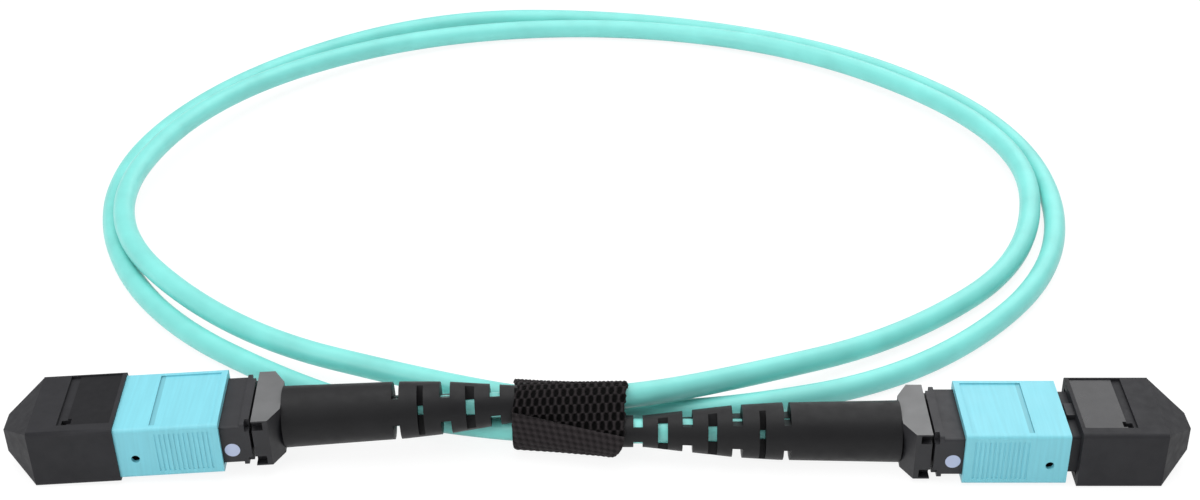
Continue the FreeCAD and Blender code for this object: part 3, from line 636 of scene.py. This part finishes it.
class CORD_OT_strap(bpy.types.Operator):
    """The hook-and-loop strap: a turn of open mesh and a flap of finer weave"""
    bl_idname = "cord.strap"
    bl_label = "Strap"

    def strip(self, name, starts, ends, radius, drift, height):
        """A fine grid bent round the bundle, between two shares of the outline at each edge."""
        sizes = bpy.context.scene.cord_strap
        low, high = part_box("strap")
        width = high.x - low.x
        edges = [outline_stretches(corners, radius) for corners in (STRAP_LEFT, STRAP_RIGHT)]
        around = sum(s[3] for s in edges[1]) * MM
        columns = round(width / sizes.grid)
        rows = round(around * (ends[0] - starts[0]) / sizes.grid)
        bm = bmesh.new()
        bmesh.ops.create_grid(bm, x_segments=columns, y_segments=rows, size=0.5)
        uv = bm.loops.layers.uv.new(STRIP_MAP)
        shade_layer = bm.verts.layers.float.new(HOLE_AND_DIP_SHADE)
        flat = {}
        for vert in bm.verts:
            across = vert.co.x + 0.5
            along = vert.co.y + 0.5
            start = starts[0] + (starts[1] - starts[0]) * across
            end = ends[0] + (ends[1] - ends[0]) * across
            share = start + along * (end - start)
            depth, hole = height(across * width, share * around)
            places = [outline_place(stretches, radius, share) for stretches in edges]
            place = places[0][0].lerp(places[1][0], across)
            out = places[0][1].lerp(places[1][1], across).normalized()
            edge = min(across, 1 - across) * width / sizes.thickness
            depth -= EDGE_THINNING * sizes.thickness * max(0.0, 1 - edge) ** 2
            front = near_share(share, FRONT_PLACE, FRONT_SPREAD)
            top = near_share(share, TOP_PLACE, TOP_SPREAD)
            x = low.x + across * width
            x += across ** 3 * (RIGHT_LEAN_AT_TOP * top - front) * drift
            x += (1 - across) ** 3 * (top + LEFT_LEAN_AT_FRONT * front) * drift * LEFT_LEAN
            place = place * MM + out * depth
            flat[vert] = (across * width, share * around)
            vert[shade_layer] = hole
            vert.co = (x, place.x, place.y)
        for face in bm.faces:
            face.smooth = True
            for loop in face.loops:
                loop[uv].uv = flat[loop.vert]
        bmesh.ops.remove_doubles(bm, verts=bm.verts, dist=SAME_POINT)
        bmesh.ops.recalc_face_normals(bm, faces=bm.faces)
        return new_mesh(name, bm)

    def open_mesh(self, across, along):
        """Height and painted shade at a place on the band: oval holes, every second row shifted by
        half.
        """
        sizes = bpy.context.scene.cord_strap
        line = math.floor(along / sizes.hole_rows + 0.5)
        shift = 0.5 * (line % 2)
        dx = (across / sizes.hole_pitch - shift + 0.5) % 1.0 - 0.5
        dy = along / sizes.hole_rows - line
        half_width, half_height, reach, softness = 0.37, 0.7, 1.15, 0.45
        far = math.hypot(dx / half_width, dy / half_height)
        hole = max(0.0, min(1.0, (reach - far) / softness))
        return -sizes.hole_depth * hole, hole

    def twill(self, across, along):
        """Height and painted shade at a place on the flap: low slanting ridges, with painted shade
        in the dips.
        """
        wave = math.sin(math.pi * (across - along) / RIDGE_ONE_WAY)
        wave *= math.sin(math.pi * (across + along) / RIDGE_OTHER_WAY)
        return RIDGE_HEIGHT * wave, DIP_SHADE - DIP_SHADE * wave

    def execute(self, context):
        sizes = context.scene.cord_strap
        radius = (sizes.inner_radius + sizes.thickness) / MM
        outer = radius + sizes.flap_lift / MM
        drift = sizes.edge_drift
        band = self.strip("strap_band", BAND_STARTS, BAND_ENDS, radius, 1.4 * drift,
                          self.open_mesh)
        flap = self.strip("strap_flap", FLAP_STARTS, FLAP_ENDS, outer, drift, self.twill)
        knit = strap_cloth("strap_mesh", sizes.colour, pitch=0.5 * MM)
        weave = strap_cloth("strap_weave", shade(sizes.colour, 1.5), pitch=0.3 * MM)
        pieces = (
            ("strap_band", band, knit, 0.35 * MM),
            ("strap_flap", flap, weave, 0.45 * MM),
        )
        for name, mesh, material, thickness in pieces:
            piece = finished_piece(name, mesh, "cord", [material])
            wall = piece.modifiers.new("wall", "SOLIDIFY")
            wall.thickness = thickness
            wall.offset = -1.0
            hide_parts("strap")
        return {"FINISHED"}


class CORD_OT_boots(bpy.types.Operator):
    """The two slotted strain-relief boots"""
    bl_idname = "cord.boots"
    bl_label = "Boots"

    def execute(self, context):
        sizes = context.scene.cord_plug
        rubber = moulded("boot_rubber", shade(sizes.black, 0.35), 0.5, grain=0.00018,
                         grain_depth=0.000006, specular=0.25)
        for side in SIDES:
            node = f"strain_relief_boot_{side}"
            mesh = rounded_copy(node, sizes.boot_edge, least_angle=40.0, smooth=32.0)
            piece = finished_piece(f"boot_{side}", mesh, "cord", [rubber])
            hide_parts(node)
        return {"FINISHED"}


class CORD_OT_sleeves(bpy.types.Operator):
    """The two coupling sleeves"""
    bl_idname = "cord.sleeves"
    bl_label = "Coupling sleeves"

    def execute(self, context):
        sizes = context.scene.cord_plug
        plastic = brushed_sleeve("sleeve_plastic", sizes.sleeve)
        # Painted shade: the small step walls are darker than the sleeve, for the shadow lines of
        # the panel's steps.
        step_shade = brushed_sleeve("sleeve_step_shade", shade(sizes.sleeve, 0.62))
        # Painted shade: a strip of the panel's floor behind its front wall, darker than the
        # sleeve.
        ramp_shade = brushed_sleeve("sleeve_ramp_shade", shade(sizes.sleeve, 0.78))
        step, ramp = 1, 2
        sleeve_edge = sizes.edge * 0.6
        for side in SIDES:
            node = f"coupling_sleeve_{side}"
            place = plug_matrix(side)
            low, high = plug_box(node, place)
            mesh = rounded_copy(node, sleeve_edge)
            piece = finished_piece(f"sleeve_{side}", mesh, f"sleeve_{side}",
                                   [plastic, step_shade, ramp_shade])
            paint_steps(mesh, place, low, high, step)
            paint_ramps(mesh, place, high, sizes.ramp_length, step, ramp)
            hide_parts(node)
        return {"FINISHED"}


class CORD_OT_caps(bpy.types.Operator):
    """The two dust caps"""
    bl_idname = "cord.caps"
    bl_label = "Dust caps"

    def execute(self, context):
        sizes = context.scene.cord_plug
        plastic = moulded("cap_plastic", sizes.black, 0.6, specular=0.21)
        satin = moulded("cap_panel", sizes.black, 0.33, drift=0.08, specular=0.5)
        # Painted shade: the panel on the side away from the key is darker than the cap, for the
        # shade light leaves on it.
        shaded_panel = moulded("cap_far_panel_shade", shade(sizes.black, 0.6), 0.6, drift=0.08, specular=0.15)
        key_side, far_side = 1, 2
        for side in SIDES:
            node = f"dust_cap_{side}"
            place = plug_matrix(side)
            top = plug_box(node, place)[1].z
            mesh = rounded_copy(node, sizes.edge)
            finishes = [plastic, satin, shaded_panel]
            piece = finished_piece(f"cap_{side}", mesh, f"cap_{side}", finishes)
            paint_flats(mesh, place, top - 0.3 * MM, top - 0.07 * MM, key_side, far_side)
            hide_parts(node)
        return {"FINISHED"}


class CORD_OT_bodies(bpy.types.Operator):
    """The inner housings and the rear bodies"""
    bl_idname = "cord.bodies"
    bl_label = "Housings and rear bodies"

    def execute(self, context):
        sizes = context.scene.cord_plug
        housing = moulded("housing_plastic", shade(sizes.black, 1.2), 0.5, specular=0.3)
        collar = moulded("collar_plastic", shade(sizes.black, 0.9), 0.45)
        # Painted highlight: a paler material for the collars' flat top faces, standing in for
        # reflected light.
        collar_highlight = moulded("collar_top_highlight", sizes.collar_top_highlight, 0.4, specular=0.5)
        highlight_top = 1
        for side in SIDES:
            place = plug_matrix(side)
            for part, finishes in (("inner_housing", [housing]), ("rear_body", [collar, collar_highlight])):
                node = f"{part}_{side}"
                top = plug_box(node, place)[1].z
                mesh = rounded_copy(node, sizes.edge)
                piece = finished_piece(f"{part}_shell_{side}", mesh, "cord",
                                       finishes)
                # The collars' top faces get the painted highlight.
                if part == "rear_body":
                    paint_flats(mesh, place, top - 0.1 * MM, top + 0.1 * MM, highlight_top, highlight_top)
                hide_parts(node)
        return {"FINISHED"}


class CORD_OT_dots(bpy.types.Operator):
    """The white dots that mark the first fibre"""
    bl_idname = "cord.dots"
    bl_label = "White dots"

    def execute(self, context):
        sizes = context.scene.cord_plug
        paint = moulded("dot_paint", (0.46, 0.52, 0.70), 0.5, drift=0.05)
        thickness = 0.04 * MM
        housing_half = 5.6 * MM
        down = {"left": 0.7 * MM, "right": -0.6 * MM}
        for side in SIDES:
            place = plug_matrix(side)
            sleeve_rear = plug_box(f"coupling_sleeve_{side}", place)[0].x
            bm = bmesh.new()
            bmesh.ops.create_circle(bm, cap_ends=True, segments=40, radius=sizes.dot_diameter / 2)
            faces = bmesh.ops.extrude_face_region(bm, geom=bm.faces[:])["geom"]
            top = [v for v in faces if isinstance(v, bmesh.types.BMVert)]
            bmesh.ops.translate(bm, verts=top, vec=(0, 0, thickness))
            bmesh.ops.recalc_face_normals(bm, faces=bm.faces)
            turn = Matrix.Rotation(math.radians(90), 4, "X")
            spot = Matrix.Translation((sleeve_rear - sizes.dot_back, -housing_half, down[side]))
            bmesh.ops.transform(bm, matrix=place @ spot @ turn, verts=bm.verts)
            mesh = new_mesh("dot", bm)
            finished_piece(f"white_dot_{side}", mesh, "cord", [paint])
        return {"FINISHED"}


class CORD_OT_inner_parts(bpy.types.Operator):
    """Finishes for the parts inside the plugs"""
    bl_idname = "cord.inner_parts"
    bl_label = "Inner parts"

    def execute(self, context):
        steel = bright_metal("spring_steel", (0.62, 0.62, 0.64), 0.25)
        plate = bright_metal("crimp_metal", (0.60, 0.57, 0.52), 0.35)
        glassy = moulded("ferrule_plastic", (0.03, 0.03, 0.035), 0.25, grain_depth=0.000002)
        rubber = moulded("ferrule_boot_rubber", (0.7, 0.7, 0.67), 0.55)
        seat = moulded("seat_plastic", (0.05, 0.05, 0.05), 0.45)
        coating = moulded("ribbon_coating", (0.1, 0.45, 0.6), 0.2, grain_depth=0.000001)
        finishes = {
            "sleeve_springs": steel, "main_spring": steel, "crimp_ring": plate,
            "ferrule": glassy, "ferrule_boot": rubber, "spring_seat": seat,
            "fibre_ribbon": coating,
        }
        for side in SIDES:
            for part, material in finishes.items():
                data = frame["nodes"][f"{part}_{side}"].data
                data.materials.clear()
                data.materials.append(material)
        return {"FINISHED"}


class CORD_PT_panel(bpy.types.Panel):
    """Lists the cord's sizes and the operators that build its pieces"""
    bl_idname = "CORD_PT_panel"
    bl_label = "Patch Cord"
    bl_space_type = "VIEW_3D"
    bl_region_type = "UI"
    bl_category = "Patch Cord"

    def draw(self, context):
        layout = self.layout
        for name in GROUPS:
            group = getattr(context.scene, name)
            box = layout.box()
            for key in group.__annotations__:
                box.prop(group, key)
        for operator in OPERATORS:
            layout.operator(operator.bl_idname)


GROUPS = {"cord_cable": CordCable, "cord_plug": CordPlug, "cord_strap": CordStrap}
OPERATORS = (
    CORD_OT_stage, CORD_OT_cable, CORD_OT_strap, CORD_OT_boots, CORD_OT_sleeves, CORD_OT_caps,
    CORD_OT_bodies, CORD_OT_dots, CORD_OT_inner_parts,
)
CLASSES = (*GROUPS.values(), *OPERATORS, CORD_PT_panel)


def register():
    """Registers the classes and puts the groups on the scene."""
    for made in CLASSES:
        bpy.utils.register_class(made)
    for name, group in GROUPS.items():
        setattr(bpy.types.Scene, name, bpy.props.PointerProperty(type=group))


def unregister():
    """Takes off what register put on."""
    for name in GROUPS:
        delattr(bpy.types.Scene, name)
    for made in reversed(CLASSES):
        bpy.utils.unregister_class(made)


def main():
    """Builds the pieces in order."""
    register()
    for operator in OPERATORS:
        area, action = operator.bl_idname.split(".")
        getattr(getattr(bpy.ops, area), action)()


if __name__ == "__main__":
    main()
